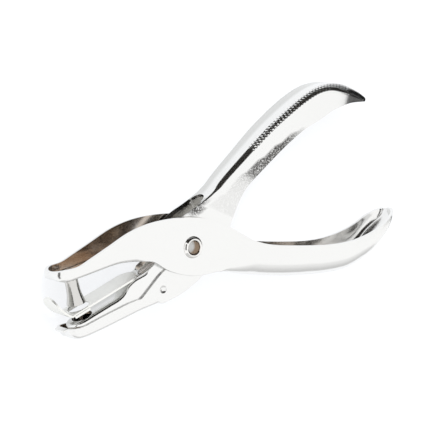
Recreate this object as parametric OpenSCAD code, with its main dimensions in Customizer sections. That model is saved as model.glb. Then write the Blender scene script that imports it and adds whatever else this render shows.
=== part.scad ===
// Single-hole punch plier: two stamped levers on a hollow rivet, a punch pin, a paper guide,
// a torsion return spring and a swing-open chip tray.
// Frame: the rivet's axis is Z and its middle is the origin. The jaws point to -X, the handles
// to +X, and the upper handle lies to +Y. The jaws stand open.

/* [Sheet metal] */
// Thickness of the levers' sheet
sheet_t = 1.1; // [0.9:0.05:1.2]
// Thickness of the chip tray's sheet
tray_t = 0.7; // [0.5:0.05:0.7]
// Thickness of the paper guide's sheet
guide_t = 0.6; // [0.5:0.05:0.7]

/* [Widths] */
// Outer width of the upper jaw lever, which is the outer one
outer_w = 12.1; // [12.1:0.1:12.8]
// Outer width of the lower jaw lever where it passes between the outer lever's cheeks
inner_w = 8; // [7.8:0.1:8]
// Outer width of the upper handle's grip
grip_w = 12; // [11:0.1:12.4]

/* [Jaws] */
// Slope of the die plate with the jaws open, in degrees
die_slope = 25; // [24:0.5:26]
// How far the lower jaw lever turns from open to shut, in degrees
stroke = 8.8; // [8.6:0.1:9]
// Distance from the rivet to the punch's axis
punch_reach = 41.7; // [41:0.1:42.2]
// Height of the die plate's upper face below the rivet, square to the plate
die_drop = 2.7; // [2.6:0.05:2.8]
// Clear height of the slot that the paper goes in
paper_gap = 2.8; // [2.6:0.05:2.9]

/* [Punch] */
// Diameter of the cutting end
punch_d = 6; // [5.8:0.05:6]
// Diameter of the pin's waist
waist_d = 4.2; // [3.8:0.1:4.6]
// Diameter of the die hole in the lower jaw
die_d = 6.6; // [6.5:0.05:6.8]
// Diameter of the punch hole in the paper guide
guide_hole_d = 7; // [6.9:0.05:7.2]

/* [Rivet] */
// Outer diameter of the rivet's tube
rivet_d = 5.6; // [5.2:0.1:5.8]
// Diameter of the hole through the rivet
rivet_hole_d = 4.2; // [3.8:0.1:4.4]
// Diameter of the rivet's rolled heads
rivet_head_d = 7; // [6.6:0.1:7.4]
// How far a rolled head stands out
rivet_head_h = 0.9; // [0.7:0.05:1]

/* [Spring] */
// Diameter of the spring wire
wire_d = 0.9; // [0.7:0.05:0.9]
// Mean radius of the coil
coil_r = 4; // [3.8:0.05:4]
// Whole turns between the two legs' places, the last one a part turn
coil_turns = 5; // [4:1:5]

/* [Hidden] */
$fn = 64;

steel = "gainsboro";
dark_steel = "dimgray";

// Half widths: the channels' outer and inner faces
outer_half = outer_w / 2;
inner_half = inner_w / 2;
tray_gap = 0.1;
tray_half = inner_half + tray_gap + tray_t;

// The levers' bores and the rivet
fixed_clearance = 0.02;
running_clearance = 0.08;
rivet_r = rivet_d / 2;

// Places along the die plate: its nose, and the punch's bore
nose_s = -47.6;
nose_lip = 1.7;
wall_front_s = -43.4;
web_rear_s = -17.5;
guide_front_s = -47.2;
guide_rear_s = -19.5;
guide_h = paper_gap - die_drop;
seat_h = guide_h - 0.08;
flange_h = 1;
tongue_len = 10;
tongue_angle = 62;
guide_half = inner_half + 0.1;

// The slot in the outer lever's web, which the inner lever passes through
outer_slot_front_x = -21;
outer_slot_rear_x = 13.5;

// The tray's web stops here, and its ears run on to the rivet
tray_rear_s = -17.4;
tray_front_s = -49.6;
tray_lip = 1.2;
tray_lip_half = 2.6;
ear_r = 6.3;
detent = [-10, -12.9];
detent_ball_r = 2.6;
detent_depth = 0.35;

// Far enough to cut through everything
far = 200;

// ---------- curves ----------

// A point on the smooth curve between b and c
function between(a, b, c, d, t) =
    0.5 * (2 * b + (c - a) * t + (2 * a - 5 * b + 4 * c - d) * t * t
           + (3 * b - a - 3 * c + d) * t * t * t);

// A smooth curve through the points p, in n steps from each to the next
function smooth(p, n = 4) =
    let (m = len(p) - 1)
    concat([for (i = [0:m - 1]) for (k = [0:n - 1])
                between(p[max(i - 1, 0)], p[i], p[i + 1], p[min(i + 2, m)], k / n)],
           [p[m]]);

// The curve c moved sideways by d, to the left of its direction
function shifted(c, d) =
    let (m = len(c) - 1)
    [for (i = [0:m]) let (u = c[min(i + 1, m)] - c[max(i - 1, 0)])
        c[i] + d * [-u.y, u.x] / norm(u)];

// Points of an ellipse's arc
function arc(centre, rx, ry, from, to, n = 12) =
    [for (i = [0:n]) let (a = from + (to - from) * i / n) centre + [rx * cos(a), ry * sin(a)]];

// A point turned about the rivet
function turned(p, angle) =
    [p.x * cos(angle) - p.y * sin(angle), p.x * sin(angle) + p.y * cos(angle)];

// The places (s, h) along and square to the die plate, as places in the part's frame
function on_die(c) = [for (p = c) turned(p, die_slope)];

// ---------- side outlines ----------

// Outer lever: its open edge from nose to tip
outer_open_edge = smooth([
    [-49.2, -6], [-46, -4.8], [-41.7, -3.9], [-38, -2], [-31, 1.8], [-24, 5.6], [-16.5, 8.1],
    [-8, 9.3], [0, 9.4], [7, 8.2], [14, 5.8], [20, 2.9], [25, 0.7], [33, -1], [45, -1.8],
    [55, -2], [63, -1.3], [70, 0.4], [76, 2.8], [80.5, 5.7], [84.9, 8.3]]);
// Outer lever: its web from tip to eye, the eye's lower edge, and its web from eye to nose
outer_handle_web = smooth([
    [85.9, 8], [83.8, 3.9], [79.5, -0.6], [73.5, -6.4], [66, -10.2], [57, -11.6], [46, -11.9],
    [34, -11.4], [22, -10.1], [outer_slot_rear_x, -8.6]]);
outer_eye_edge = smooth([
    [9.8, -8.3], [6.5, -8.8], [2.5, -9.2], [-2, -8.8], [-6, -7.9], [-10, -6.4], [-14.3, -4],
    [-17.5, -3.6]]);
outer_jaw_web = smooth([
    [outer_slot_front_x, -3.5], [-27.3, -3.9], [-34.5, -5.7], [-41.2, -7.5], [-45.5, -8.5],
    [-47.9, -8.2], [-49.2, -6.9]]);

// Inner lever: its web from nose to throat, along the die plate, with a step up to the rear
inner_jaw_web = on_die(smooth([
    [nose_s, -die_drop - nose_lip], [nose_s + 0.3, -die_drop - 0.7],
    [nose_s + 1.2, -die_drop - 0.1], [nose_s + 2.8, -die_drop], [-40, -die_drop],
    [-33, -die_drop], [-29.5, -die_drop], [-27, -die_drop + 0.6], [-24.5, seat_h - 0.6],
    [-22, seat_h], [-20, seat_h], [web_rear_s, seat_h]]));
// Inner lever: its walls' upper edge from throat to handle
inner_eye_edge = smooth([
    [-14.6, -6.2], [-12.6, -4.4], [-11.4, -1], [-9.4, 3.4], [-6.2, 6.9], [-2, 10.1], [2.6, 12.6],
    [6.2, 15.2]]);
// Inner lever: its handle's web from slot to tip
inner_handle_web = smooth([
    [8.9, 17.4], [13.3, 22.2], [20.7, 29.3], [28.4, 36.4], [36.2, 42.5], [42.2, 46.6],
    [47.8, 49.5], [53, 50.8], [58, 50.9], [63, 50.3], [68, 48.8], [72.6, 46]]);
// Inner lever: its open edge from tip to eye, and its walls' lower edge from eye to jaw
inner_open_edge = smooth([
    [72.5, 45.1], [67, 44.9], [61.5, 44.5], [56, 42.6], [49.5, 39.6], [42.6, 35.8], [38, 32.2],
    [33, 28.3], [29, 24.4], [24.8, 20.5], [21, 17.2], [18.6, 12.8], [16.6, 8.2], [14.6, 3.2],
    [11.6, -1.6], [7.6, -6], [3, -10], [-3, -13.4], [-9.5, -15.7]]);
inner_jaw_edge = on_die(smooth([
    [-16.8, -9.4], [-22, -8.6], [-29, -7.8], [-36, -7.3], [wall_front_s, -6.6]]));

// Chip tray: its web from rear to nose, then its rim from nose to eye
tray_rim_h = -2.6;
tray_web = on_die(smooth([
    [tray_rear_s, -11], [-24.5, -9.9], [-32, -9.2], [-40, -8.4], [-45, -7.7], [-47.7, -7],
    [-49.1, -5.8], [tray_front_s, -4.2]]));
tray_rim = concat(
    on_die([[tray_front_s, tray_rim_h], [-45.5, -3.9], [-41, -4.3], [-34.5, -4.8], [-27, -5.5],
            [-23, -6.3]]),
    [[-14.8, -12.1], [-11.4, -8.5], [-5.2, -3.6]]);
tray_ear_edge = smooth([[5.6, -3], [6.6, -6.4], [4.9, -9.6], [1, -12.5], [-3, -14.8],
                        [-9, -17.1]]);

// ---------- building blocks ----------

// A slab with the outline c, across the whole width w
module slab(c, w) {
    linear_extrude(w, center = true) polygon(c);
}

// Everything above and below the plan outline c, which is drawn in X and Z
module above_plan(c) {
    rotate([90, 0, 0]) linear_extrude(far, center = true) polygon(c);
}

// The round hole of the rivet, through the whole part
module rivet_bore(clearance) {
    cylinder(h = far, r = rivet_r + clearance, center = true);
}

// A plan outline that is 2 * half wide with elliptical ends that reach x0 and x1
function long_plan(x0, nose, x1, tail, half) =
    concat(arc([x0 + nose, 0], nose, half, 90, 270), arc([x1 - tail, 0], tail, half, -90, 90));

// ---------- outer lever: upper jaw and lower handle ----------

outer_nose_x = -49.3;
outer_nose_len = 5.2;
outer_tail_len = 7.5;

module upper_jaw_lever() color(steel) {
    inside = outer_half - sheet_t;
    hollow = concat(
        [[95, 40]], shifted(outer_handle_web, -sheet_t),
        [[outer_slot_rear_x, -30], [outer_slot_front_x, -30]],
        shifted(outer_jaw_web, -sheet_t), [[-60, -5], [-60, 40]]);
    difference() {
        intersection() {
            slab(concat(outer_open_edge, outer_handle_web, outer_eye_edge, outer_jaw_web),
                 outer_w);
            above_plan(long_plan(outer_nose_x, outer_nose_len, 86, outer_tail_len, outer_half));
        }
        intersection() {
            slab(hollow, 2 * inside);
            above_plan(long_plan(outer_nose_x + sheet_t, outer_nose_len - sheet_t / 2,
                                 86 - sheet_t, outer_tail_len - sheet_t / 2, inside));
        }
        rivet_bore(fixed_clearance);
        punch_place() cylinder(h = 3 * sheet_t, r = neck_r + fixed_clearance, center = true);
    }
}

// ---------- inner lever: lower jaw and upper handle ----------

// Half the lever's width at x: it widens from the eye to the grip
grip_half = grip_w / 2;
grip_tip_x = 72.6;
grip_tip_len = 11;

function grip_plan(less) =
    let (side = [[-60, inner_half - less], [10, inner_half - less], [16, inner_half + 0.4 - less],
                 [26, grip_half - 0.6 - less], [38, grip_half - less]],
         back = len(side) - 1)
    concat([for (i = [back:-1:0]) side[i]], [for (p = side) [p.x, -p.y]],
           arc([grip_tip_x - grip_tip_len, 0], grip_tip_len - less, grip_half - less, -90, 90));

// The jaw's plan, rounded at its nose and as wide as anything behind the rivet
function jaw_plan(less) =
    concat([[far, far], [-8, far], [-8, inner_half - less]],
           arc([nose_s + inner_half, 0], inner_half - less, inner_half - less, 90, 270),
           [[-8, less - inner_half], [-8, -far], [far, -far]]);

module lower_jaw_lever() color(steel) {
    inside = inner_half - sheet_t;
    hollow = concat(
        [[90, 40]], shifted([for (i = [len(inner_handle_web) - 1:-1:0]) inner_handle_web[i]], sheet_t),
        [[7.6, 16.4], [4, 22], [-25, 10]],
        [turned([web_rear_s, 5], die_slope)],
        shifted([for (i = [len(inner_jaw_web) - 1:-1:0]) inner_jaw_web[i]], sheet_t),
        [turned([nose_s, -40], die_slope), [40, -40]]);
    difference() {
        intersection() {
            slab(concat(inner_jaw_web, inner_eye_edge, inner_handle_web, inner_open_edge,
                        inner_jaw_edge, on_die([[wall_front_s, -die_drop - nose_lip]])),
                 grip_w);
            above_plan(grip_plan(0));
            rotate([0, 0, die_slope]) above_plan(jaw_plan(0));
        }
        intersection() {
            slab(hollow, grip_w);
            above_plan(grip_plan(sheet_t));
            rotate([0, 0, die_slope]) above_plan(jaw_plan(sheet_t));
        }
        rivet_bore(running_clearance);
        die_place() cylinder(h = 8, d = die_d, center = true);
    }
}

// ---------- rivet ----------

// A tube with a rolled head at each end, bored right through
module pivot_rivet() color(steel) {
    bore_r = rivet_hole_d / 2;
    head_r = rivet_head_d / 2;
    top = outer_half + rivet_head_h;
    roll = rivet_head_h / 2;
    profile = concat(
        [[bore_r, 0], [rivet_r, 0], [rivet_r, outer_half]],
        arc([head_r - roll, outer_half + roll], roll, roll, -90, 90),
        arc([bore_r + roll, top - roll], roll, roll, 90, 180, 6));
    for (side = [0, 1]) mirror([0, 0, side]) rotate_extrude() polygon(profile);
}

// ---------- punch ----------

punch_slope = die_slope - stroke;
web_h = 4.3;
tip_h = -4.55;
neck_r = 1.5;
seat_gap = 0.1;
pin_head_r = 2.4;
pin_head_h = 0.9;

// Children stand at the punch, square to the die plate once the jaws are shut,
// with Z = 0 in the middle of the outer lever's web
module punch_place() {
    rotate([0, 0, punch_slope]) translate([-punch_reach, web_h + sheet_t / 2, 0])
        rotate([-90, 0, 0]) children();
}

// Children stand at the middle of the die hole, square to the plate
module die_place() {
    rotate([0, 0, die_slope]) translate([-punch_reach, -die_drop, 0]) rotate([-90, 0, 0])
        children();
}

// A pin that flares from its waist to its cutting end, riveted over above the web
module punch_pin() color(steel) {
    top = web_h + sheet_t + seat_gap;
    waist_r = waist_d / 2;
    tip_r = punch_d / 2;
    flare = smooth([[waist_r, web_h - 1.2], [waist_r + 0.05, web_h - 3], [waist_r + 0.25, -1.2],
                    [tip_r - 0.25, -3.2], [tip_r, tip_h + 0.5]]);
    profile = concat(
        [[0, top + pin_head_h]],
        arc([0, top], pin_head_r, pin_head_h, 80, 0, 6),
        [[neck_r, top], [neck_r, web_h - seat_gap], [waist_r, web_h - seat_gap]], flare,
        [[tip_r, tip_h], [0, tip_h]]);
    rotate([0, 0, punch_slope]) translate([-punch_reach, 0, 0]) rotate([-90, 0, 0])
        rotate_extrude() polygon(profile);
}

// ---------- paper guide ----------

// A strip over the die plate, with a punch hole, side flanges and a tongue turned up in front
module paper_guide() color(steel) {
    bend = [guide_front_s, guide_h];
    along = [-cos(tongue_angle), sin(tongue_angle)];
    inward = [sin(tongue_angle), cos(tongue_angle)];
    side = [[guide_rear_s, guide_h], bend, bend + tongue_len * along,
            bend + tongue_len * along + guide_t * inward,
            bend + guide_t * [tan(tongue_angle / 2), 1], [guide_rear_s, guide_h + guide_t]];
    rotate([0, 0, die_slope]) difference() {
        union() {
            intersection() {
                slab(side, 2 * guide_half);
                above_plan(concat([[-far, guide_half], [-far, -guide_half]],
                                  arc([guide_rear_s - guide_half, 0], guide_half, guide_half,
                                      -90, 90)));
                translate([bend.x, bend.y, 0]) rotate([0, 0, 180 - tongue_angle])
                    above_plan(concat([[-far, far], [-far, -far], [0, -far], [0, -guide_half]],
                                      arc([tongue_len - guide_half, 0], guide_half, guide_half,
                                          -90, 90), [[0, guide_half], [0, far]]));
            }
            for (side = [-1, 1])
                translate([guide_front_s + 0.9, guide_h - flange_h,
                           side * (guide_half - guide_t / 2) - guide_t / 2])
                    cube([6.2, flange_h + guide_t / 2, guide_t]);
        }
        translate([-punch_reach, guide_h, 0]) rotate([90, 0, 0])
            cylinder(h = 8, d = guide_hole_d, center = true);
    }
}

// ---------- return spring ----------

coil_half = 2.2;
wire_sides = 8;
steps_a_turn = 14;
// The upper leg's end and bend under the outer lever's jaw web
upper_leg = [[-24.5, -4.35], [-20.9, -4.2]];
// The lower leg's end and bend on the inner lever's web
lower_leg = on_die([[-19.3, guide_h + 0.53], [-12, guide_h + 0.9]]);

// The angle at which a leg from point p meets the coil, over (1) or under (-1) it
function tangent_angle(p, side) = atan2(p.y, p.x) - side * acos(coil_r / norm(p));

// Points 3D of the wire: the upper leg, the coil and the lower leg
function spring_path() =
    let (from = tangent_angle(upper_leg[1], 1),
         to = tangent_angle(lower_leg[1], -1) - 360 * coil_turns,
         start = from < to ? from + 360 : from,
         n = ceil((start - to) / 360 * steps_a_turn))
    concat([for (p = upper_leg) [p.x, p.y, -coil_half]],
           [for (i = [0:n]) let (a = start + (to - start) * i / n)
               [coil_r * cos(a), coil_r * sin(a), coil_half * (2 * i / n - 1)]],
           [for (i = [1:-1:0]) [lower_leg[i].x, lower_leg[i].y, coil_half]]);

// A round wire along the points p, none of whose stretches runs along Z
module wire(p, r) {
    m = len(p) - 1;
    rings = [for (i = [0:m])
        let (u = p[min(i + 1, m)] - p[max(i - 1, 0)], t = u / norm(u),
             across = cross(t, [0, 0, 1]), n1 = across / norm(across), n2 = cross(n1, t))
        [for (k = [0:wire_sides - 1]) let (a = 360 * k / wire_sides)
            p[i] + r * (cos(a) * n1 + sin(a) * n2)]];
    sides = [for (i = [0:m - 1]) for (k = [0:wire_sides - 1])
        let (j = (k + 1) % wire_sides, a = i * wire_sides, b = a + wire_sides)
        [a + k, b + k, b + j, a + j]];
    ends = [[for (k = [0:wire_sides - 1]) k],
            [for (k = [wire_sides - 1:-1:0]) m * wire_sides + k]];
    polyhedron([for (ring = rings) for (q = ring) q], concat(sides, ends));
}

module return_spring() color(dark_steel) {
    wire(spring_path(), wire_d / 2);
}

// ---------- chip tray ----------

// The tray's plan along the die plate: a blunt nose with round corners
function tray_plan(less) =
    let (half = tray_half - less, front = tray_front_s + less, corner = 3.2 - less)
    concat([[far, half]],
           arc([front + corner, half - corner], corner, corner, 90, 180, 6),
           arc([front + corner, corner - half], corner, corner, 180, 270, 6), [[far, -half]]);

module chip_tray() color(steel) {
    hollow = concat(shifted(tray_web, -tray_t),
                    on_die([[-60, 10], [-10, 30]]), [[60, 30], [60, -60]],
                    on_die([[tray_rear_s, -40]]));
    difference() {
        union() {
            intersection() {
                slab(concat(tray_rim, tray_ear_edge, tray_web), 2 * tray_half);
                rotate([0, 0, die_slope]) above_plan(tray_plan(0));
            }
            cylinder(h = 2 * tray_half, r = ear_r, center = true);
            rotate([0, 0, die_slope])
                translate([tray_front_s - tray_lip, tray_rim_h - tray_t, -tray_lip_half])
                    cube([tray_lip + tray_t, tray_t, 2 * tray_lip_half]);
        }
        intersection() {
            slab(hollow, 2 * (tray_half - tray_t));
            rotate([0, 0, die_slope]) above_plan(tray_plan(tray_t));
        }
        rivet_bore(running_clearance);
        for (side = [-1, 1])
            translate([detent.x, detent.y,
                       side * (tray_half + detent_ball_r - detent_depth)])
                sphere(detent_ball_r);
    }
}

upper_jaw_lever();
lower_jaw_lever();
pivot_rivet();
punch_pin();
paper_guide();
return_spring();
chip_tray();
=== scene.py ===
"""Looks of the punch plier: bright plated levers, punch, guide, spring and chip tray on white."""

import math

import bmesh
import bpy
from mathutils import Matrix, Vector


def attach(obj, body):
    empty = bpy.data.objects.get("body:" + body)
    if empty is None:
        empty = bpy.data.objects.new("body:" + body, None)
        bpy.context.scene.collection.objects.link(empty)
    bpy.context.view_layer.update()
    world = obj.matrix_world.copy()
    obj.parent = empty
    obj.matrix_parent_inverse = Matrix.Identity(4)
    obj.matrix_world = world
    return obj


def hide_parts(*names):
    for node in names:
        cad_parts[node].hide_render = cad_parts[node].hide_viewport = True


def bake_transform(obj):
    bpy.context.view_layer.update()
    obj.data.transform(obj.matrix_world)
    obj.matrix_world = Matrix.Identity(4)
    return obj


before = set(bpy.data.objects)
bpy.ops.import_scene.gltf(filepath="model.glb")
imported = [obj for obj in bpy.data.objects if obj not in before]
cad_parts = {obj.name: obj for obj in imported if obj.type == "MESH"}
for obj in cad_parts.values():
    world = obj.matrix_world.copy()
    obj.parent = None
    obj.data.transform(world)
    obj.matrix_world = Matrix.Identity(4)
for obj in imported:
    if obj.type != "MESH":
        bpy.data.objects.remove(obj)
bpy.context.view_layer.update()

MM = 0.001
DIE_SLOPE = math.radians(25.0)
PUNCH_SLOPE = math.radians(16.2)
PUNCH_REACH = 41.7
FLOOR_Z = -6.95


# ---------- curves, all in millimetres ----------


def smooth(points, steps=4):
    """A smooth curve through the points, with so many steps from each to the next."""
    points = [Vector(p) for p in points]
    last = len(points) - 1
    curve = []
    for i in range(last):
        a, b, c, d = (points[min(max(k, 0), last)] for k in (i - 1, i, i + 1, i + 2))
        for k in range(steps):
            t = k / steps
            curve.append(0.5 * (2 * b + (c - a) * t + (2 * a - 5 * b + 4 * c - d) * t * t
                                + (3 * b - a - 3 * c + d) * t ** 3))
    return curve + [points[last]]


def on_die(s, h):
    """A place along and square to the die plate, as a place in the part's frame."""
    return Vector((s * math.cos(DIE_SLOPE) - h * math.sin(DIE_SLOPE),
                   s * math.sin(DIE_SLOPE) + h * math.cos(DIE_SLOPE)))


def height_at(curve, x):
    """The curve's Y at x, for a curve that runs steadily to +X."""
    for a, b in zip(curve, curve[1:]):
        if x <= b[0]:
            return a[1] + (b[1] - a[1]) * max(0.0, (x - a[0]) / (b[0] - a[0]))
    return curve[-1][1]


def stepped(stops, x):
    """A value that passes through the stops (x, value) in straight lines."""
    if x <= stops[0][0]:
        return stops[0][1]
    for (x0, v0), (x1, v1) in zip(stops, stops[1:]):
        if x <= x1:
            return v0 + (v1 - v0) * (x - x0) / (x1 - x0)
    return stops[-1][1]


def round_end(x, centre, length, half):
    """Half width of an elliptical end that starts at centre and is so long."""
    u = abs(x - centre) / length
    return half * math.sqrt(max(0.0, 1 - u * u))


# ---------- mesh tools ----------


def new_object(name, verts, faces, material, point_values=None, face_values=None):
    mesh = bpy.data.meshes.new(name)
    mesh.from_pydata([tuple(Vector(v) * MM) for v in verts], [], faces)
    for label, values in (point_values or {}).items():
        mesh.attributes.new(label, "FLOAT", "POINT").data.foreach_set("value", values)
    for label, values in (face_values or {}).items():
        mesh.attributes.new(label, "FLOAT", "FACE").data.foreach_set("value", values)
    bm = bmesh.new()
    bm.from_mesh(mesh)
    bmesh.ops.remove_doubles(bm, verts=bm.verts, dist=1e-6)
    bmesh.ops.dissolve_degenerate(bm, edges=bm.edges, dist=1e-6)
    bmesh.ops.recalc_face_normals(bm, faces=bm.faces)
    bm.to_mesh(mesh)
    bm.free()
    obj = bpy.data.objects.new(name, mesh)
    bpy.context.scene.collection.objects.link(obj)
    mesh.materials.append(material)
    return obj


def shade(obj, angle=35.0, bevel=0.0, segments=2):
    """Smooth shading with edges sharper than the angle kept, and those edges rounded by bevel."""
    obj.data.shade_smooth()
    obj.data.set_sharp_from_angle(angle=math.radians(angle))
    if bevel:
        mod = obj.modifiers.new("edge", "BEVEL")
        mod.width = bevel * MM
        mod.segments = segments
        mod.limit_method = "ANGLE"
        mod.angle_limit = math.radians(angle)
        mod.harden_normals = True
    return obj


def cut(obj, *tools):
    """Cuts the tool objects out of obj and removes them."""
    for tool in tools:
        mod = obj.modifiers.new("cut", "BOOLEAN")
        mod.operation = "DIFFERENCE"
        mod.solver = "EXACT"
        mod.object = tool
        bpy.context.view_layer.objects.active = obj
        bpy.ops.object.modifier_apply(modifier=mod.name)
        bpy.data.objects.remove(tool)
    return obj


def cylinder_between(a, b, radius, material, sides=48):
    a, b = Vector(a), Vector(b)
    turn = (b - a).to_track_quat("Z", "Y").to_matrix()
    verts, faces = [], []
    for end in (a, b):
        for k in range(sides):
            angle = 2 * math.pi * k / sides
            verts.append(end + turn @ Vector((radius * math.cos(angle), radius * math.sin(angle), 0)))
    for k in range(sides):
        j = (k + 1) % sides
        faces.append((k, j, sides + j, sides + k))
    faces += [tuple(range(sides))[::-1], tuple(range(sides, 2 * sides))]
    return new_object("tool", verts, faces, material)


def ball(centre, radius, material, rings=16, sides=32):
    verts, faces = [], []
    for i in range(rings + 1):
        tilt = math.pi * i / rings
        for k in range(sides):
            turn = 2 * math.pi * k / sides
            verts.append(Vector(centre) + radius * Vector(
                (math.sin(tilt) * math.cos(turn), math.sin(tilt) * math.sin(turn), math.cos(tilt))))
    for i in range(rings):
        for k in range(sides):
            j = (k + 1) % sides
            faces.append((i * sides + k, i * sides + j, (i + 1) * sides + j, (i + 1) * sides + k))
    return new_object("tool", verts, faces, material)


def lathe(name, profile, material, place=Matrix.Identity(4), sides=64):
    """Turns the profile of (radius, height) about the local Z axis and puts it in place."""
    verts, faces = [], []
    count = len(profile)
    for k in range(sides):
        angle = 2 * math.pi * k / sides
        for radius, height in profile:
            verts.append(place @ Vector((radius * math.cos(angle), radius * math.sin(angle), height)))
    for k in range(sides):
        j = (k + 1) % sides
        for i in range(count - 1):
            faces.append((k * count + i, j * count + i, j * count + i + 1, k * count + i + 1))
        if profile[0][0] > 0:
            faces.append((k * count + count - 1, j * count + count - 1, j * count, k * count))
    return new_object(name, verts, faces, material)


def wire(name, path, radius, material, sides=12):
    """A round wire along the path."""
    verts, faces = [], []
    last = len(path) - 1
    for i, point in enumerate(path):
        along = (path[min(i + 1, last)] - path[max(i - 1, 0)]).normalized()
        across = along.cross(Vector((0, 0, 1))).normalized()
        other = across.cross(along)
        for k in range(sides):
            angle = 2 * math.pi * k / sides
            verts.append(point + radius * (math.cos(angle) * across + math.sin(angle) * other))
    for i in range(last):
        for k in range(sides):
            j = (k + 1) % sides
            faces.append((i * sides + k, i * sides + j, (i + 1) * sides + j, (i + 1) * sides + k))
    faces += [tuple(range(sides)), tuple(range(last * sides, (last + 1) * sides))[::-1]]
    return new_object(name, verts, faces, material)


def channel(name, stations, sheet, material, slot=None, wall_steps=8, bend_steps=8, web_steps=14):
    """A channel of sheet metal. Each station is a dict: web and rim are the outer corners of its
    section in the side view, half and inside its outer and inner half widths at the web, bend its
    bend's width and drop its depth, crease how far down its wall (0 to 1) it starts to change to
    half_rim. A bend whose power is over 1 is flatter than an ellipse.
    The web is left out between the two slot stations."""
    rows = []
    arc_length = 0.0
    before = None
    along, across, worn, shoulder = [], [], [], []
    for st in stations:
        web, rim = Vector(st["web"]), Vector(st["rim"])
        depth = (rim - web).length
        down = (rim - web) / depth
        if before is not None:
            arc_length += (web - before).length
        before = web
        crease = st.get("crease", 1.0)
        row = []
        for skin in (0.0, sheet):
            skin_depth = min(skin, 0.5 * depth)
            half = st["half"] if skin == 0 else st["inside"]
            spread = st.get("half_rim", st["half"]) - st["half"]
            bend = max(min(max(st["bend"] - skin, 0.2), 0.95 * half), 0.001)
            drop = max(st.get("drop", st["bend"]) - skin, 0.2)
            drop = max(min(drop, 0.8 * (depth - skin_depth)), 0.001)
            side = []
            for k in range(wall_steps + 1):
                share = 1 - k / wall_steps
                at = skin_depth + drop + (depth - skin_depth - drop) * share
                part = at / depth
                more = 0.0 if part <= crease or crease > 0.999 else spread * (part - crease) / (1 - crease)
                side.append((at, half + more))
            power = st.get("power", 1.0)
            for k in range(1, bend_steps + 1):
                angle = math.pi / 2 * k / bend_steps
                side.append((skin_depth + drop - drop * math.sin(angle) ** power,
                             half - bend + bend * max(math.cos(angle), 0.0) ** power))
            flat = [(skin_depth, (half - bend) * (1 - 2 * k / web_steps))
                    for k in range(1, web_steps)]
            profile = side + flat + [(at, -z) for at, z in reversed(side)]
            row.append([Vector((web.x + down.x * at, web.y + down.y * at, z))
                        for at, z in profile])
            along += [arc_length] * len(profile)
            across += [z for at, z in profile]
            levels = [st.get("wear", 0.0) * float(at / depth > crease - 0.02)
                      + st.get("scuff", 0.0) * float(at / depth < 0.14) for at, z in side]
            worn += levels + [0.0] * len(flat) + levels[::-1]
            bent = [0.0] * (wall_steps + 1) + [1.0] * bend_steps
            shoulder += bent + [0.0] * len(flat) + bent[::-1]
        rows.append(row)
    count = len(rows[0][0])
    wall = wall_steps + bend_steps
    mesh_verts = [p for row in rows for skin in row for p in skin]

    def at(i, skin, j):
        return (2 * i + skin) * count + j

    faces, skins = [], []
    for i in range(len(rows) - 1):
        open_web = slot is not None and slot[0] <= i < slot[1]
        for j in range(count - 1):
            if open_web and wall <= j < count - 1 - wall:
                continue
            faces.append((at(i, 0, j), at(i + 1, 0, j), at(i + 1, 0, j + 1), at(i, 0, j + 1)))
            faces.append((at(i, 1, j), at(i, 1, j + 1), at(i + 1, 1, j + 1), at(i + 1, 1, j)))
            skins += [0.0, 1.0]
        for j in (0, count - 1) + ((wall, count - 1 - wall) if open_web else ()):
            faces.append((at(i, 0, j), at(i, 1, j), at(i + 1, 1, j), at(i + 1, 0, j)))
            skins.append(0.0)
    for i in slot or ():
        for j in range(wall, count - 1 - wall):
            faces.append((at(i, 0, j), at(i, 0, j + 1), at(i, 1, j + 1), at(i, 1, j)))
            skins.append(0.0)
    for i in (0, len(rows) - 1):
        for j in range(count - 1):
            if slot and slot[0] <= i <= slot[1] and wall <= j < count - 1 - wall:
                continue
            faces.append((at(i, 0, j), at(i, 0, j + 1), at(i, 1, j + 1), at(i, 1, j)))
            skins.append(0.0)
    return new_object(name, mesh_verts, faces, material,
                      {"along": along, "across": across, "worn": worn, "shoulder": shoulder},
                      {"inner": skins})


# ---------- materials ----------


def node_tree(name):
    material = bpy.data.materials.new(name)
    material.use_nodes = True
    tree = material.node_tree
    return material, tree, tree.nodes["Principled BSDF"]


def math_node(tree, operation, first, second=None):
    node = tree.nodes.new("ShaderNodeMath")
    node.operation = operation
    for socket, value in zip(node.inputs, (first, second)):
        if value is None:
            continue
        if isinstance(value, (int, float)):
            socket.default_value = value
        else:
            tree.links.new(value, socket)
    return node.outputs[0]


def ramp(tree, value, low, high):
    """0 at low and beyond, 1 at high and beyond."""
    node = tree.nodes.new("ShaderNodeMapRange")
    node.interpolation_type = "SMOOTHSTEP"
    node.inputs["From Min"].default_value = low
    node.inputs["From Max"].default_value = high
    tree.links.new(value, node.inputs["Value"])
    return node.outputs["Result"]


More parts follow.
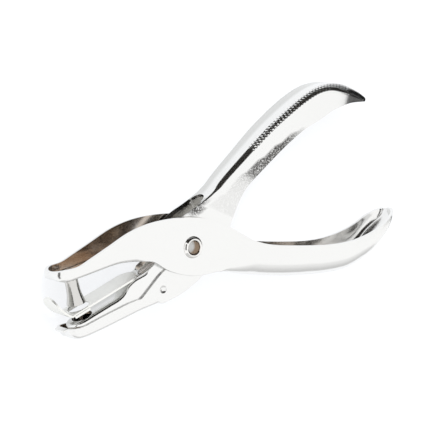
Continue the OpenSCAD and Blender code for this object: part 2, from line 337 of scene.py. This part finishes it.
def plated(name, colour, rough, waviness=0.02, grain=0.0, knurl=None, inside=None, worn=False, bore=None, metal=1.0):
    """Bright plating: a faint waviness, fine polishing grain and clouded gloss. The knurl is
    (pitch, from, to) along the channel's web; inside is the colour painted on a channel's inner
    skin as painted shade and reflection, in noise patches, fading out towards the handle ends.
    A worn channel has dark specks where its sections say so, and painted shade darkens its far
    half. bore is the colour of painted shade on the upper part of a rivet's bore wall."""
    material, tree, shader = node_tree(name)
    link = tree.links.new
    shader.inputs["Base Color"].default_value = (*colour, 1)
    # Painted shade and reflection: the inner skin is tinted towards the inside colour, more so in noise patches, and
    # fades out from the pivot towards the handle ends.
    if inside:
        skin = tree.nodes.new("ShaderNodeAttribute")
        skin.attribute_name = "inner"
        inner_shade_mix = tree.nodes.new("ShaderNodeMix")
        inner_shade_mix.data_type = "RGBA"
        inner_shade_mix.inputs["A"].default_value = (*colour, 1)
        inner_shade_mix.inputs["B"].default_value = (*inside, 1)
        inner_shade_patches = tree.nodes.new("ShaderNodeTexNoise")
        inner_shade_patches.inputs["Scale"].default_value = 110.0
        inner_shade_patches.inputs["Detail"].default_value = 2.0
        spot = tree.nodes.new("ShaderNodeTexCoord").outputs["Object"]
        link(spot, inner_shade_patches.inputs["Vector"])
        split = tree.nodes.new("ShaderNodeSeparateXYZ")
        link(spot, split.inputs["Vector"])
        inner_shade_amount = math_node(tree, "MULTIPLY_ADD", ramp(tree, inner_shade_patches.outputs["Fac"], 0.3, 0.6), 0.6)
        inner_shade_amount.node.inputs[2].default_value = 0.4
        inner_shade_amount = math_node(tree, "MULTIPLY", inner_shade_amount,
                            ramp(tree, split.outputs["X"], 90 * MM, 5 * MM))
        link(math_node(tree, "MULTIPLY", skin.outputs["Fac"], inner_shade_amount), inner_shade_mix.inputs["Factor"])
        link(inner_shade_mix.outputs["Result"], shader.inputs["Base Color"])
    shader.inputs["Metallic"].default_value = metal
    place = tree.nodes.new("ShaderNodeTexCoord").outputs["Object"]

    cloud = tree.nodes.new("ShaderNodeTexNoise")
    cloud.inputs["Scale"].default_value = 90.0
    cloud.inputs["Detail"].default_value = 5.0
    link(place, cloud.inputs["Vector"])
    spread = tree.nodes.new("ShaderNodeMapRange")
    spread.inputs["To Min"].default_value = rough * 0.7
    spread.inputs["To Max"].default_value = rough * 1.4
    link(cloud.outputs["Fac"], spread.inputs["Value"])
    link(spread.outputs["Result"], shader.inputs["Roughness"])

    wave = tree.nodes.new("ShaderNodeTexNoise")
    wave.inputs["Scale"].default_value = 60.0
    wave.inputs["Detail"].default_value = 1.0
    link(place, wave.inputs["Vector"])
    bump = tree.nodes.new("ShaderNodeBump")
    bump.inputs["Strength"].default_value = 1.0
    bump.inputs["Distance"].default_value = waviness * MM
    link(wave.outputs["Fac"], bump.inputs["Height"])
    normal = bump.outputs["Normal"]

    if grain:
        stretch = tree.nodes.new("ShaderNodeMapping")
        stretch.inputs["Scale"].default_value = (120.0, 2500.0, 2500.0)
        link(place, stretch.inputs["Vector"])
        lines = tree.nodes.new("ShaderNodeTexNoise")
        lines.inputs["Scale"].default_value = 1.0
        lines.inputs["Detail"].default_value = 2.0
        link(stretch.outputs["Vector"], lines.inputs["Vector"])
        fine = tree.nodes.new("ShaderNodeBump")
        fine.inputs["Distance"].default_value = grain * MM
        link(lines.outputs["Fac"], fine.inputs["Height"])
        link(normal, fine.inputs["Normal"])
        normal = fine.outputs["Normal"]

    if knurl:
        pitch, start, end = knurl
        along = tree.nodes.new("ShaderNodeAttribute")
        along.attribute_name = "along"
        across = tree.nodes.new("ShaderNodeAttribute")
        across.attribute_name = "across"
        one = math_node(tree, "MULTIPLY", along.outputs["Fac"], 1 / pitch)
        two = math_node(tree, "MULTIPLY", across.outputs["Fac"], 1 / pitch)
        grooves = [math_node(tree, "PINGPONG", math_node(tree, way, one, two), 0.5)
                   for way in ("ADD", "SUBTRACT")]
        grid = math_node(tree, "MINIMUM", *grooves)
        bent = tree.nodes.new("ShaderNodeAttribute")
        bent.attribute_name = "shoulder"
        side = math_node(tree, "ABSOLUTE", across.outputs["Fac"])
        for low, high, value in ((start, start + 3, along.outputs["Fac"]),
                                 (end, end - 3, along.outputs["Fac"]),
                                 (3.0, 3.5, side), (0.2, 0.9, bent.outputs["Fac"])):
            grid = math_node(tree, "MULTIPLY", grid, ramp(tree, value, low, high))
        teeth = tree.nodes.new("ShaderNodeBump")
        teeth.inputs["Distance"].default_value = 0.24 * MM
        link(grid, teeth.inputs["Height"])
        link(normal, teeth.inputs["Normal"])
        normal = teeth.outputs["Normal"]
    # Painted shade: the bore wall inside a 2.15 mm radius and above 4.6 mm is coloured towards the bore colour.
    if bore:
        depth = tree.nodes.new("ShaderNodeSeparateXYZ")
        link(place, depth.inputs["Vector"])
        wide = math_node(tree, "SQRT", math_node(
            tree, "ADD", math_node(tree, "MULTIPLY", depth.outputs["X"], depth.outputs["X"]),
            math_node(tree, "MULTIPLY", depth.outputs["Y"], depth.outputs["Y"])))
        bore_shade_mask = math_node(tree, "MULTIPLY", ramp(tree, wide, 2.3 * MM, 2.15 * MM),
                         ramp(tree, depth.outputs["Z"], 3.2 * MM, 4.6 * MM))
        shaded = tree.nodes.new("ShaderNodeMix")
        shaded.data_type = "RGBA"
        shaded.inputs["A"].default_value = (*colour, 1)
        shaded.inputs["B"].default_value = (*bore, 1)
        link(bore_shade_mask, shaded.inputs["Factor"])
        link(shaded.outputs["Result"], shader.inputs["Base Color"])
    if worn:
        level = tree.nodes.new("ShaderNodeAttribute")
        level.attribute_name = "worn"
        specks = tree.nodes.new("ShaderNodeTexNoise")
        specks.inputs["Scale"].default_value = 2600.0
        specks.inputs["Detail"].default_value = 3.0
        link(place, specks.inputs["Vector"])
        dark = math_node(tree, "MULTIPLY", level.outputs["Fac"],
                         ramp(tree, specks.outputs["Fac"], 0.29, 0.54))
        blend = tree.nodes.new("ShaderNodeMix")
        blend.data_type = "RGBA"
        blend.inputs["B"].default_value = (0.03, 0.028, 0.025, 1)
        link(dark, blend.inputs["Factor"])
        link(inner_shade_mix.outputs["Result"], blend.inputs["A"])
        # Painted shade: the channel's far side, from across 1.2 mm to -1.2 mm and beyond, is multiplied darker. This
        # stands in for the floor's contact shadow seen reflected in it.
        far_half_painted_shade = tree.nodes.new("ShaderNodeMix")
        far_half_painted_shade.data_type = "RGBA"
        far_half_painted_shade.blend_type = "MULTIPLY"
        far_half_painted_shade.inputs["B"].default_value = (0.8, 0.8, 0.79, 1)
        link(ramp(tree, across.outputs["Fac"], 1.2, -1.2), far_half_painted_shade.inputs["Factor"])
        link(blend.outputs["Result"], far_half_painted_shade.inputs["A"])
        link(far_half_painted_shade.outputs["Result"], shader.inputs["Base Color"])
    link(normal, shader.inputs["Normal"])
    return material


NICKEL = (0.82, 0.82, 0.81)
# The inside colours below are painted shade and reflection on the channels' inner skins.
INNER_SHADE_BROWN = (0.7, 0.6, 0.51)
lever_plate = plated("lever_plate", NICKEL, 0.16, inside=INNER_SHADE_BROWN)
# worn=True paints dark wear specks on this lever and painted shade on its far half.
handle_plate = plated("handle_plate", NICKEL, 0.16, knurl=(1.3, 9.0, 59.0),
                      inside=(0.8, 0.79, 0.77), worn=True)
tray_plate = plated("tray_plate", NICKEL, 0.2, waviness=0.03, inside=INNER_SHADE_BROWN)
guide_plate = plated("guide_plate", (0.83, 0.83, 0.8), 0.34, grain=0.006, metal=0.8)
# The bore colour is painted shade inside the rivet's bore.
rivet_plate = plated("rivet_plate", (0.84, 0.83, 0.81), 0.12, bore=(0.5, 0.37, 0.27))
punch_steel = plated("punch_steel", (0.64, 0.63, 0.61), 0.16, grain=0.003)
spring_wire = plated("spring_wire", (0.5, 0.48, 0.46), 0.3, grain=0.004)


# ---------- outer lever: upper jaw and lower handle ----------

outer_rim = smooth([
    (-49.2, -6), (-46, -4.8), (-41.7, -3.9), (-38, -2), (-31, 1.8), (-24, 5.6), (-16.5, 8.1),
    (-8, 9.3), (0, 9.4), (7, 8.2), (14, 5.8), (20, 2.9), (25, 0.7), (33, -1), (45, -1.8),
    (55, -2.0), (63, -1.3), (70, 0.4), (76, 2.8), (80.5, 5.7), (84.9, 8.3)])
outer_web = (
    smooth([(-49.2, -6.9), (-47.9, -8.2), (-45.5, -8.5), (-41.2, -7.5), (-34.5, -5.7),
            (-27.3, -3.9), (-21, -3.5)])
    + smooth([(-17.5, -3.6), (-14.3, -4), (-10, -6.4), (-6, -7.9), (-2, -8.8), (2.5, -9.2),
              (6.5, -8.8), (9.8, -8.3)])
    + smooth([(13.5, -8.6), (22, -10.1), (34, -11.4), (46, -11.9), (57, -11.6), (66, -10.2),
              (73.5, -6.4), (79.5, -0.6), (83.8, 3.9), (85.9, 8)]))

OUTER_HALF, OUTER_INSIDE = 6.05, 4.95
SLOT_FRONT, SLOT_REAR = -21.0, 13.5
TAIL_START = 77.2


def outer_half_at(x):
    if x < -44.1:
        return round_end(x, -44.1, 5.2, OUTER_HALF)
    half = OUTER_HALF + stepped([(50, 0), (64, 0.8)], x)
    return round_end(x, TAIL_START, 86 - TAIL_START, half) if x > TAIL_START else half


def outer_inside_at(x):
    if x < -43.55:
        return round_end(x, -43.55, 4.65, OUTER_INSIDE)
    half = OUTER_INSIDE + stepped([(50, 0), (64, 0.8)], x)
    return round_end(x, TAIL_START - 0.5, 85.4 - TAIL_START, half) if x > TAIL_START - 0.5 else half


xs = [-49.29, -49.25, -49.1, -48.8, -48.4, -48.21, -48.15, -48.0, -47.6, -47.0, -46.2, -45.2, -44.5]
xs += [-44.5 + (SLOT_FRONT + 44.5) * i / 22 for i in range(1, 23)]
xs += [SLOT_FRONT + (SLOT_REAR - SLOT_FRONT) * i / 30 for i in range(1, 31)]
xs += [SLOT_REAR + (77.95 - SLOT_REAR) * i / 50 for i in range(1, 51)]
xs += [79, 80, 81, 82, 83, 83.8, 84.4, 84.75, 84.89, 84.95, 85.2, 85.5, 85.75, 85.9, 85.98]
outer_stations = []
for x in xs:
    rim_y, web_y = height_at(outer_rim, x), height_at(outer_web, x)
    bend = stepped([(-21, 1.3), (-17, 0.15), (11, 0.15), (14, 1.4), (26, 4.0), (70, 4.2), (84, 2)], x)
    drop = stepped([(-21, 1.3), (-17, 0.15), (11, 0.15), (14, 2.0), (26, 6.6), (70, 7), (84, 3)], x)
    outer_stations.append({
        "web": (x, web_y), "rim": (x, max(rim_y, web_y + 0.5)),
        "half": max(outer_half_at(x), 0.02), "inside": max(outer_inside_at(x), 0.015),
        "bend": bend, "drop": drop})
front = xs.index(SLOT_FRONT)
rear = min(range(len(xs)), key=lambda i: abs(xs[i] - SLOT_REAR))
upper_jaw_lever = channel("upper_jaw_lever_shell", outer_stations, 1.1, lever_plate,
                          slot=(front, rear))
cut(upper_jaw_lever, cylinder_between((0, 0, -10), (0, 0, 10), 2.85, lever_plate))
shade(upper_jaw_lever, bevel=0.13)


# ---------- inner lever: lower jaw and upper handle ----------

# web point, rim point, half width at the web, half width at the rim, start of the crease, bend
inner_sections = [
    ((71.9, 46.0), (71.7, 45.05), 0.02, 0.02, 1.0, 2.0, 2.0),
    ((71.4, 46.7), (71.0, 44.95), 2.2, 2.2, 1.0, 2.1, 1.2),
    ((70.4, 47.4), (69.8, 44.9), 3.4, 3.4, 1.0, 3.3, 1.9),
    ((68.0, 48.8), (67.0, 44.9), 4.7, 4.7, 1.0, 4.4, 3.2),
    ((63.0, 50.3), (61.8, 44.6), 5.7, 5.7, 1.0, 4.0, 3.4),
    ((58.0, 50.9), (57.5, 43.4), 6.0, 6.0, 1.0, 2.9, 2.9),
    ((53.0, 50.8), (54.0, 42.1), 6.0, 6.0, 1.0, 2.2, 2.2),
    ((47.8, 49.5), (50.8, 40.2), 6.0, 6.0, 1.0, 2.0, 2.0),
    ((42.2, 46.6), (47.0, 38.2), 6.0, 5.9, 0.94, 1.9, 1.9),
    ((36.2, 42.5), (42.6, 35.8), 5.9, 5.5, 0.86, 1.8, 1.8),
    ((28.4, 36.4), (35.9, 30.6), 5.5, 4.8, 0.73, 1.8, 1.8),
    ((20.7, 29.3), (29.0, 24.4), 5.0, 4.2, 0.59, 1.8, 1.8),
    ((13.3, 22.2), (22.3, 18.4), 4.6, 4.0, 0.48, 1.7, 1.7),
    ((8.9, 17.4), (19.3, 14.2), 4.3, 4.0, 0.38, 1.5, 1.5),
    ((6.2, 15.2), (17.6, 10.6), 4.1, 4.0, 0.31, 1.1, 1.1),
    ((2.6, 12.6), (16.2, 7.2), 4.0, 4.0, 0.2, 0.15, 0.15),
    ((-2.0, 10.1), (14.6, 3.2), 4.0, 4.0, 0.2, 0.15, 0.15),
    ((-6.2, 6.9), (11.6, -1.6), 4.0, 4.0, 0.2, 0.15, 0.15),
    ((-9.4, 3.4), (7.6, -6.0), 4.0, 4.0, 0.2, 0.15, 0.15),
    ((-11.4, -1.0), (3.0, -10.0), 4.0, 4.0, 0.2, 0.15, 0.15),
    ((-12.6, -4.4), (-3.0, -13.4), 4.0, 4.0, 0.2, 0.15, 0.15),
    ((-14.6, -6.2), (-8.0, -15.2), 4.0, 4.0, 0.2, 0.15, 0.15),
]
jaw_sections = [
    (-17.5, 0.02, -9.4), (-20, 0.02, -8.9), (-22, 0.02, -8.6), (-24.5, -0.58, -8.3),
    (-27, -2.1, -8), (-29.5, -2.7, -7.8), (-33, -2.7, -7.5), (-36.5, -2.7, -7.25),
    (-40, -2.7, -6.95), (-43.35, -2.7, -6.6)]
nose_sections = [(-43.45, -2.7, -4.4), (-44.6, -2.7, -4.4), (-45.6, -2.75, -4.4),
                 (-46.4, -2.9, -4.4), (-47.0, -3.15, -4.4), (-47.4, -3.6, -4.4),
                 (-47.58, -4.0, -4.4), (-47.61, -4.2, -4.4)]
steps = 4
pairs = [(*on_die(s, top), *on_die(s + (0.8 if s == -17.5 else 0), low), 4.0, 4.0, 1.0,
          1.2, 1.2) for s, top, low in jaw_sections]
flat_sections = [(*w, *r, *sizes) for w, r, *sizes in inner_sections] + pairs
curve = smooth(flat_sections, steps)
curve += [Vector((*on_die(s, top), *on_die(s, low), 4.0, 4.0, 1.0, 1.2, 1.2))
          for s, top, low in nose_sections]
inner_stations = []
for q in curve:
    s = q[0] * math.cos(DIE_SLOPE) + q[1] * math.sin(DIE_SLOPE)
    nose = s < -43.6
    half = round_end(s, -43.6, 4.02, 4.0) if nose else q[4]
    inside = (round_end(s, -43.6, 2.9, 2.9) if nose else q[4] - 1.1)
    inner_stations.append({
        "web": q[0:2], "rim": q[2:4], "half": max(half, 0.02), "inside": max(inside, 0.015),
        "half_rim": max(half, 0.02) + (q[5] - q[4]), "crease": min(max(q[6], 0.05), 1.0),
        "bend": max(q[7], 0.15), "drop": max(q[8], 0.15), "power": 1.5 if q[0] > 9 else 1.0,
        "wear": stepped([(9, 0.12), (14.5, 0.22), (17, 0.9), (30, 0.98), (34, 0.5), (38, 0.0)],
                        q[0]) if q[1] > 6 and q[0] > 4 else 0.0,
        "scuff": stepped([(-2, 0.0), (0, 0.95), (4, 0.9), (6.5, 0.0)], q[0]) if q[1] > 6 else 0.0})
rear = 14 * steps + 2
front = len(inner_sections) * steps
lower_jaw_lever = channel("lower_jaw_lever_shell", inner_stations, 1.1, handle_plate,
                          slot=(rear, front))
die_foot, die_top = on_die(-PUNCH_REACH, -8), on_die(-PUNCH_REACH, 2)
cut(lower_jaw_lever, cylinder_between((0, 0, -10), (0, 0, 10), 2.9, handle_plate),
    cylinder_between((*die_foot, 0), (*die_top, 0), 3.3, handle_plate),
    cylinder_between((6.2, 11.8, 0), (2.7, 16.7, 0), 2.95, handle_plate))
shade(lower_jaw_lever, bevel=0.13)


# ---------- chip tray ----------

tray_sections = [
    (-49.55, -4.3, -2.62), (-49.1, -5.7, -2.75), (-47.7, -6.95, -3.2), (-45, -7.7, -4.0),
    (-42.5, -8.1, -4.2), (-40, -8.4, -4.4), (-36, -8.85, -4.7), (-32, -9.2, -5.05),
    (-28, -9.6, -5.4)]
tray_pairs = [(*on_die(s, low), *on_die(s, high)) for s, low, high in tray_sections]
tray_pairs += [(*on_die(-24.5, -9.9), *on_die(-24.4, -5.95)),
               (*on_die(-21, -10.4), *on_die(-22.6, -6.25)),
               (*on_die(-17.4, -11.0), *on_die(-18.5, -4.7)),
               (-9, -17.1, -11.4, -8.5), (-3, -14.8, -8.5, -6), (1, -12.5, -6.5, -2.5),
               (4.9, -9.6, -6.2, 1.2), (6.6, -6.4, -3.6, 5.2), (6.4, -2, 0.6, 6.3),
               (5.4, 3.2, 5.0, 3.8)]
tray_curve = smooth(tray_pairs, 4)
TRAY_FRONT, TRAY_CORNER = -49.6, 3.2
front_pair = Vector((*on_die(TRAY_FRONT, -3.9), *on_die(TRAY_FRONT, -2.62)))
tray_stations = []
for i, q in enumerate([front_pair] + tray_curve):
    s = q[0] * math.cos(DIE_SLOPE) + q[1] * math.sin(DIE_SLOPE)
    ahead = s - TRAY_FRONT
    half, inside = 4.8, 4.1
    if ahead < TRAY_CORNER:
        half = 4.8 - TRAY_CORNER + math.sqrt(
            max(0, TRAY_CORNER ** 2 - (TRAY_CORNER - ahead) ** 2))
        inside = 4.8 - TRAY_CORNER + math.sqrt(
            max(0, (TRAY_CORNER - 0.7) ** 2 - (TRAY_CORNER - ahead) ** 2))
        inside = inside if ahead > 0.7 else 0.015
    tray_stations.append({"web": q[0:2], "rim": q[2:4], "half": 0.02 if i == 0 else half,
                          "inside": inside, "bend": 1.4 if s < -17.3 else 0.12})
slot_start = 1 + 11 * 4
chip_tray = channel("chip_tray_shell", tray_stations, 0.7, tray_plate,
                    slot=(slot_start, len(tray_stations) - 1))
cut(chip_tray, cylinder_between((0, 0, -10), (0, 0, 10), 2.9, tray_plate),
    ball((-10, -12.9, 4.8 + 0.97), 1.6, tray_plate),
    ball((-10, -12.9, -4.8 - 0.97), 1.6, tray_plate))
shade(chip_tray, bevel=0.1)
lip_outline = [(-48.95, 2.6), (-50.0, 2.6)]
lip_outline += [(-50.0 - 0.8 * math.sin(math.radians(a)), 1.8 + 0.8 * math.cos(math.radians(a)))
                for a in range(15, 91, 15)]
lip_outline += [(s, -z) for s, z in reversed(lip_outline)]
lip_verts = [(*on_die(s, h), z) for h in (-3.25, -2.6) for s, z in lip_outline]
count = len(lip_outline)
lip_faces = [tuple(range(count)), tuple(range(count, 2 * count))[::-1]]
lip_faces += [(k, k + count, (k + 1) % count + count, (k + 1) % count) for k in range(count)]
tray_lip = shade(new_object("chip_tray_lip", lip_verts, lip_faces, tray_plate), bevel=0.15)


# ---------- paper guide ----------

GUIDE_LOW, GUIDE_SHEET, GUIDE_HALF = 0.1, 0.6, 4.1
TONGUE_START, TONGUE_END = math.radians(46), math.radians(90)
guide_path = []
rear_s = -19.5
for i in range(13):
    guide_path.append((rear_s - GUIDE_HALF * (1 - math.cos(math.pi / 2 * i / 12)), GUIDE_LOW))
guide_path += [(-23.6 - 22.3 * i / 12, GUIDE_LOW) for i in range(1, 13)]
bend_r = 1.2
bend_centre = (-45.9 - 0.5, GUIDE_LOW + bend_r)
for i in range(1, 9):
    angle = -math.pi / 2 - TONGUE_START * i / 8
    guide_path.append((bend_centre[0] + bend_r * math.cos(angle),
                       bend_centre[1] + bend_r * math.sin(angle)))
reach = 8.9
tongue_steps = [0.15, 0.3, 0.45] + [1 - GUIDE_HALF / reach * math.cos(math.pi / 2 * i / 14)
                                    for i in range(1, 15)]
before = 0.0
for share in tongue_steps:
    slope = TONGUE_START + (TONGUE_END - TONGUE_START) * (share + before) / 2
    step = reach * (share - before)
    guide_path.append((guide_path[-1][0] - step * math.cos(slope),
                       guide_path[-1][1] + step * math.sin(slope)))
    before = share
verts, faces = [], []
last = len(guide_path) - 1
for i, (s, h) in enumerate(guide_path):
    a, b = guide_path[max(i - 1, 0)], guide_path[min(i + 1, last)]
    length = math.hypot(b[0] - a[0], b[1] - a[1])
    normal = (-(b[1] - a[1]) / length, (b[0] - a[0]) / length)
    if normal[1] < 0:
        normal = (-normal[0], -normal[1])
    half = GUIDE_HALF
    if s > rear_s - GUIDE_HALF:
        half = math.sqrt(max(0.0, GUIDE_HALF ** 2 - (s - rear_s + GUIDE_HALF) ** 2))
    left = math.hypot(s - guide_path[-1][0], h - guide_path[-1][1])
    if i > last - 14 and left < GUIDE_HALF:
        half = math.sqrt(max(0.0, GUIDE_HALF ** 2 - (GUIDE_HALF - left) ** 2))
    half = max(half, 0.02)
    for up, z in ((0, half), (0, half * 0.5), (0, 0), (0, -half * 0.5), (0, -half), (1, -half),
                  (1, -half * 0.5), (1, 0), (1, half * 0.5), (1, half)):
        place = on_die(s + up * GUIDE_SHEET * normal[0], h + up * GUIDE_SHEET * normal[1])
        verts.append((*place, z))
for i in range(last):
    for k in range(10):
        j = (k + 1) % 10
        faces.append((i * 10 + k, i * 10 + j, (i + 1) * 10 + j, (i + 1) * 10 + k))
faces += [tuple(range(10)), tuple(range(last * 10, last * 10 + 10))[::-1]]
paper_guide = new_object("paper_guide_shell", verts, faces, guide_plate)
hole_low, hole_high = on_die(-PUNCH_REACH, -3), on_die(-PUNCH_REACH, 3)
cut(paper_guide, cylinder_between((*hole_low, 0), (*hole_high, 0), 3.5, guide_plate))
flanges = []
for side in (-1, 1):
    corners = []
    for s in (-45.8, -39.9):
        for h in (GUIDE_LOW - 0.9, GUIDE_LOW + 0.3):
            for z in (side * 3.42, side * 4.1):
                corners.append((*on_die(s, h), z))
    box_faces = [(0, 1, 3, 2), (4, 6, 7, 5), (0, 4, 5, 1), (2, 3, 7, 6), (0, 2, 6, 4), (1, 5, 7, 3)]
    flanges.append(shade(new_object(f"guide_flange_{side}", corners, box_faces, guide_plate),
                         bevel=0.2))
shade(paper_guide, bevel=0.12)


# ---------- punch, rivet and spring ----------

tip_h, web_h, top = -4.55, 4.3, 5.5
waist = smooth([(2.1, 3.1), (2.12, 1.2), (2.3, -1.2), (2.7, -3.1), (2.92, -3.9)], 6)
profile = [(0.0, top + 0.9)]
profile += [(2.4 * math.sin(math.radians(a)), top + 0.9 * math.cos(math.radians(a)))
            for a in range(10, 91, 10)]
profile += [(1.5, top), (1.5, web_h - 0.1), (2.1, web_h - 0.1)]
profile += [tuple(p) for p in waist]
profile += [(3.0, -4.1), (3.0, tip_h + 0.06), (2.94, tip_h), (1.9, tip_h + 0.35), (0.0, tip_h + 0.5)]
stand = (Matrix.Rotation(PUNCH_SLOPE, 4, "Z") @ Matrix.Translation((-PUNCH_REACH, 0, 0))
         @ Matrix.Rotation(-math.pi / 2, 4, "X"))
punch_pin = shade(lathe("punch_pin_turned", profile, punch_steel, stand), angle=40)

profile = [(2.1, 0.0), (2.8, 0.0), (2.8, 6.07), (3.42, 6.07), (3.5, 6.13), (3.47, 6.22),
           (2.96, 6.83), (2.87, 6.92), (2.76, 6.97)]
profile += [(2.7 - 0.6 * math.sin(math.radians(a)), 6.37 + 0.6 * math.cos(math.radians(a)))
            for a in range(0, 91, 15)]
rivet_halves = []
for name, flip in (("upper", 1), ("lower", -1)):
    turned = [(r, flip * h) for r, h in profile]
    rivet_halves.append(shade(lathe(f"pivot_rivet_{name}", turned, rivet_plate), angle=40))

COIL_R, COIL_HALF, WIRE_R, TURNS = 4.0, 2.2, 0.45, 5
upper_leg = [(-24.5, -4.35), (-20.9, -4.2)]
lower_leg = [tuple(on_die(-19.3, 0.63)), tuple(on_die(-12.0, 1.0))]


def touch_angle(point, side):
    return math.atan2(point[1], point[0]) - side * math.acos(COIL_R / math.hypot(*point))


start = touch_angle(upper_leg[1], 1)
end = touch_angle(lower_leg[1], -1) - 2 * math.pi * TURNS
if start < end:
    start += 2 * math.pi
turns = 170
coil = [Vector((COIL_R * math.cos(start + (end - start) * i / turns),
                COIL_R * math.sin(start + (end - start) * i / turns),
                COIL_HALF * (2 * i / turns - 1))) for i in range(turns + 1)]
leg_a = [Vector((*upper_leg[0], -COIL_HALF)), Vector((*upper_leg[1], -COIL_HALF)), coil[0]]
spring_path = [leg_a[0].lerp(leg_a[1], i / 4) for i in range(4)]
spring_path += [leg_a[1].lerp(leg_a[2], i / 10) for i in range(10)] + coil
return_spring = shade(wire("return_spring_coil", spring_path, WIRE_R, spring_wire), angle=50)
far_end, bend_at = Vector((*lower_leg[0], COIL_HALF)), Vector((*lower_leg[1], COIL_HALF))
lower_path = [coil[-1].lerp(bend_at, i / 12) for i in range(12)]
lower_path += [bend_at.lerp(far_end, i / 6) for i in range(7)]
spring_leg = shade(wire("return_spring_leg", lower_path, WIRE_R, spring_wire), angle=50)


# ---------- what rides on what ----------

for obj, body, node in (
        (upper_jaw_lever, "upper_jaw_half", "upper_jaw_lever"),
        (lower_jaw_lever, "lower_jaw_half", "lower_jaw_lever"),
        (chip_tray, "tray", "chip_tray"),
        (tray_lip, "tray", "chip_tray"),
        (paper_guide, "lower_jaw_half", "paper_guide"),
        (flanges[0], "lower_jaw_half", "paper_guide"),
        (flanges[1], "lower_jaw_half", "paper_guide"),
        (punch_pin, "upper_jaw_half", "punch_pin"),
        (rivet_halves[0], "upper_jaw_half", "pivot_rivet"),
        (rivet_halves[1], "upper_jaw_half", "pivot_rivet"),
        (return_spring, "upper_jaw_half", "return_spring")):
    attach(obj, body)
    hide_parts(node)
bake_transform(spring_leg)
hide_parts("return_spring")


# ---------- floor, cards, lights and camera ----------


def plane(name, corners, material):
    mesh = bpy.data.meshes.new(name)
    mesh.from_pydata([tuple(Vector(c) * MM) for c in corners], [], [(0, 1, 2, 3)])
    mesh.materials.append(material)
    obj = bpy.data.objects.new(name, mesh)
    bpy.context.scene.collection.objects.link(obj)
    return obj


white, tree, shader = node_tree("paper_white")
shader.inputs["Base Color"].default_value = (0.26, 0.26, 0.26, 1)
shader.inputs["Roughness"].default_value = 0.9
shader.inputs["Specular IOR Level"].default_value = 0.0
shader.inputs["Emission Color"].default_value = (0.96, 0.975, 1, 1)
shader.inputs["Emission Strength"].default_value = 0.78
wide = 4000
plane("floor", [(-wide, -wide, FLOOR_Z), (wide, -wide, FLOOR_Z), (wide, wide, FLOOR_Z),
                (-wide, wide, FLOOR_Z)], white)


def glow(name, colour, strength):
    material = bpy.data.materials.new(name)
    material.use_nodes = True
    tree = material.node_tree
    tree.nodes.clear()
    emit = tree.nodes.new("ShaderNodeEmission")
    emit.inputs["Color"].default_value = (*colour, 1)
    emit.inputs["Strength"].default_value = strength
    out = tree.nodes.new("ShaderNodeOutputMaterial")
    tree.links.new(emit.outputs["Emission"], out.inputs["Surface"])
    return material


def fading(name, low, high, top):
    """A card that fades from low at the floor to high at its top."""
    material = glow(name, (1, 1, 1), 1.0)
    tree = material.node_tree
    place = tree.nodes.new("ShaderNodeNewGeometry")
    split = tree.nodes.new("ShaderNodeSeparateXYZ")
    tree.links.new(place.outputs["Position"], split.inputs["Vector"])
    spread = tree.nodes.new("ShaderNodeMapRange")
    spread.interpolation_type = "SMOOTHSTEP"
    spread.inputs["From Max"].default_value = top * MM
    spread.inputs["To Min"].default_value = low
    spread.inputs["To Max"].default_value = high
    tree.links.new(split.outputs["Z"], spread.inputs["Value"])
    tree.links.new(spread.outputs["Result"], tree.nodes["Emission"].inputs["Strength"])
    return material


black_card = glow("black_card", (0.03, 0.028, 0.025), 1.0)
front_card = fading("front_card", 0.66, 1.0, 480)
side_card = fading("side_card", 0.012, 0.05, 430)
cards = [
    plane("card_behind", [(-500, 420, 10), (600, 420, 10), (600, 420, 640), (-500, 420, 640)],
          black_card),
    plane("card_front", [(-300, -450, 0), (900, -450, 0), (900, -450, 500), (-300, -450, 500)],
          front_card),
    plane("card_side", [(520, -42, 0), (520, 420, 0), (520, 420, 430), (520, -42, 430)],
          side_card),
    plane("card_low", [(170, -35, -6.8), (520, -35, -6.8), (520, 420, -6.8), (170, 420, -6.8)],
          side_card),
    plane("card_tip", [(82, 25, -6.8), (170, 25, -6.8), (170, 420, -6.8), (82, 420, -6.8)],
          side_card),
    plane("card_nose", [(-560, 300, 150), (-560, -300, 150), (-560, -300, 300), (-560, 300, 300)],
          black_card),
]
for card in cards:
    card.visible_camera = False
    card.visible_shadow = False
    card.visible_diffuse = False

world = bpy.data.worlds.new("studio")
bpy.context.scene.world = world
world.use_nodes = True
world.node_tree.nodes["Background"].inputs["Color"].default_value = (1, 1, 1, 1)
world.node_tree.nodes["Background"].inputs["Strength"].default_value = 1.15

sun = bpy.data.lights.new("key", "SUN")
sun.energy = 1.5
sun.angle = math.radians(28)
sun_obj = bpy.data.objects.new("key", sun)
sun_obj.rotation_mode = "QUATERNION"
sun_obj.rotation_quaternion = Vector((-0.12, 0.73, 0.68)).to_track_quat("Z", "Y")
bpy.context.scene.collection.objects.link(sun_obj)
sun_obj.visible_glossy = False

RIGHT = Vector((0.813, 0.034, 0.581)).normalized()
UP = Vector((0.0505, 0.990, -0.1285)).normalized()
BACK = RIGHT.cross(UP).normalized()
pivot = Vector((0, 0, 6.5))
eye = pivot + BACK * 630
aim = pivot + RIGHT * 6.56 + UP * 10.16
back = (eye - aim).normalized()
right = UP.cross(back).normalized()
up = back.cross(right)
camera = bpy.data.cameras.new("camera")
camera.sensor_width = 36
camera.lens = 168.8
camera.clip_start, camera.clip_end = 0.05, 20
camera_obj = bpy.data.objects.new("camera", camera)
camera_obj.matrix_world = Matrix.Translation(eye * MM) @ Matrix(
    (right, up, back)).transposed().to_4x4()
bpy.context.scene.collection.objects.link(camera_obj)
bpy.context.scene.camera = camera_obj

bpy.context.scene.view_settings.view_transform = "Standard"
bpy.context.scene.view_settings.look = "None"
